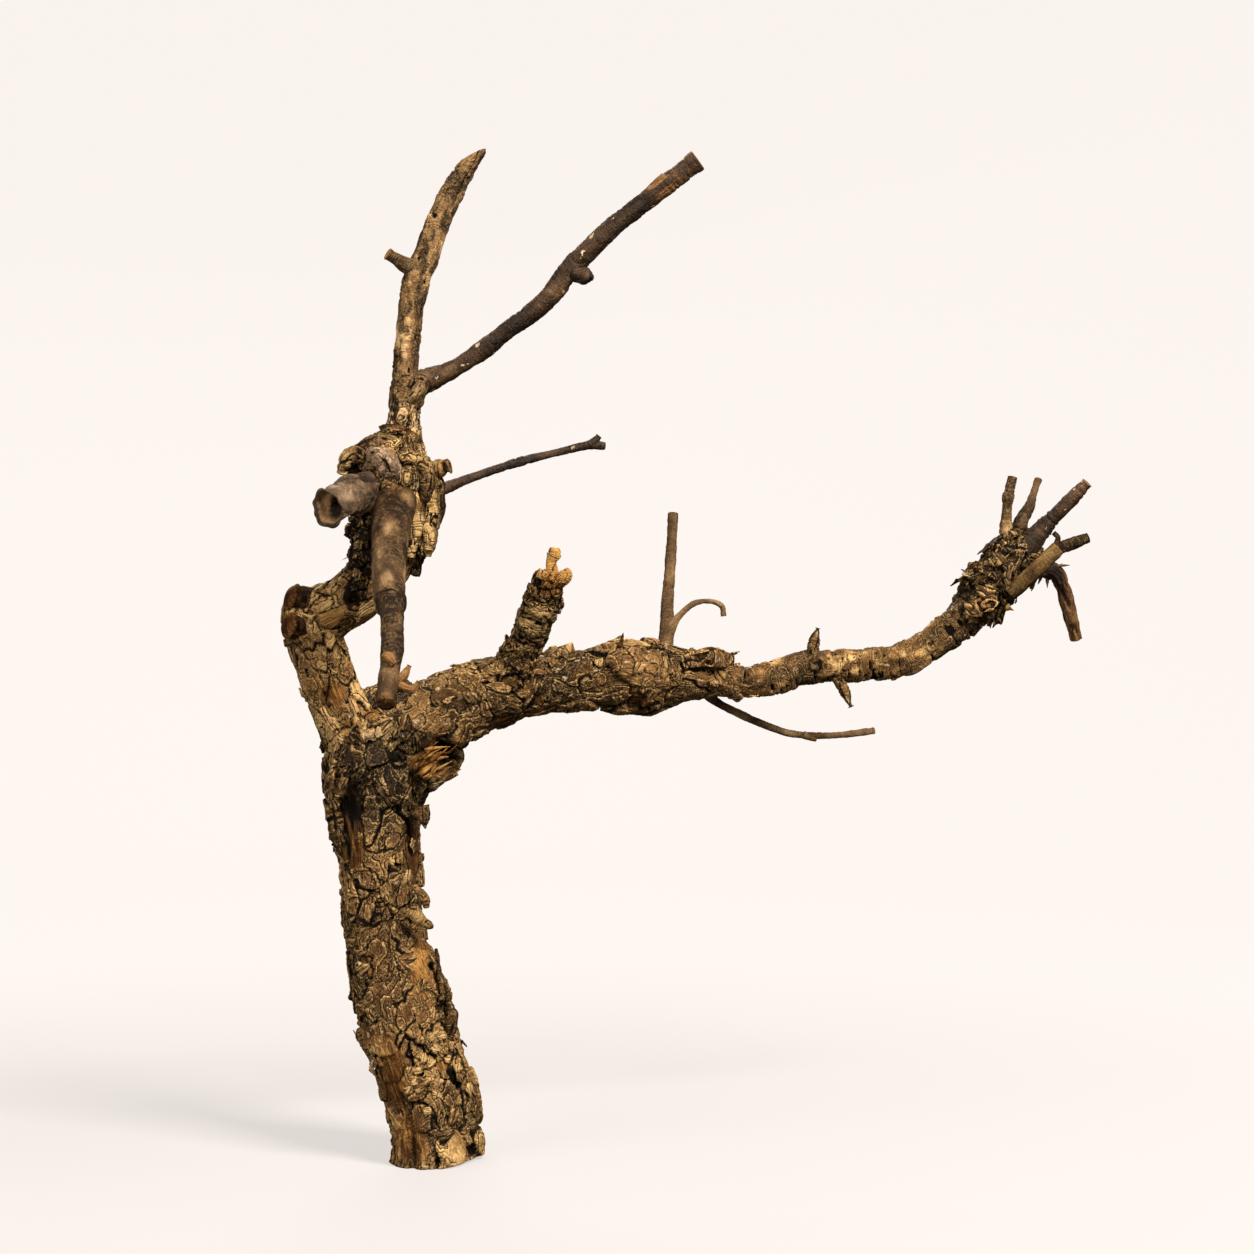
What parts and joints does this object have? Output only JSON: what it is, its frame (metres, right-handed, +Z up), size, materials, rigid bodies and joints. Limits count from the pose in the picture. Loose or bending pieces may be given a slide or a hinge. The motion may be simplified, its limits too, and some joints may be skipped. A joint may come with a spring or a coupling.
{
  "type": "driftwood",
  "caption": "Free-standing forked driftwood branch with flaking bark, on a sawn foot, with a long side arm, a crooked limb with a burl, and thin shoots and twigs. Ornament or perch.",
  "frame": {"origin": "middle of the sawn foot, on the surface the piece stands on", "axes": "+Z up, +X along the long arm to the viewer's right, +Y away from the viewer"},
  "size_m": [0.2551, 0.1659, 0.3106],
  "materials": {
    "rough_bark": "flaking plated bark, matt",
    "smooth_bark": "smooth tan bark with wrinkles and pits, matt",
    "dark_bark": "smooth dark bark with pale dots, slightly sheened",
    "grey_bark": "smooth grey-brown twig bark, matt",
    "bare_wood": "peeled wood with fine grain, matt"
  },
  "bodies": {
    "root": {"trunk": "rough_bark", "crooked_limb": "rough_bark", "right_arm": "rough_bark", "broken_stub": "rough_bark", "side_stub": "grey_bark", "front_branch": "grey_bark", "upright_shoot": "smooth_bark", "slanting_shoot": "dark_bark", "back_twig": "dark_bark", "standing_twig": "grey_bark", "curled_twig": "grey_bark", "drooping_twig": "grey_bark", "left_finger": "smooth_bark", "middle_finger": "grey_bark", "right_finger": "dark_bark", "peeled_stick": "bare_wood", "hanging_twig": "dark_bark"}
  },
  "joints": []
}
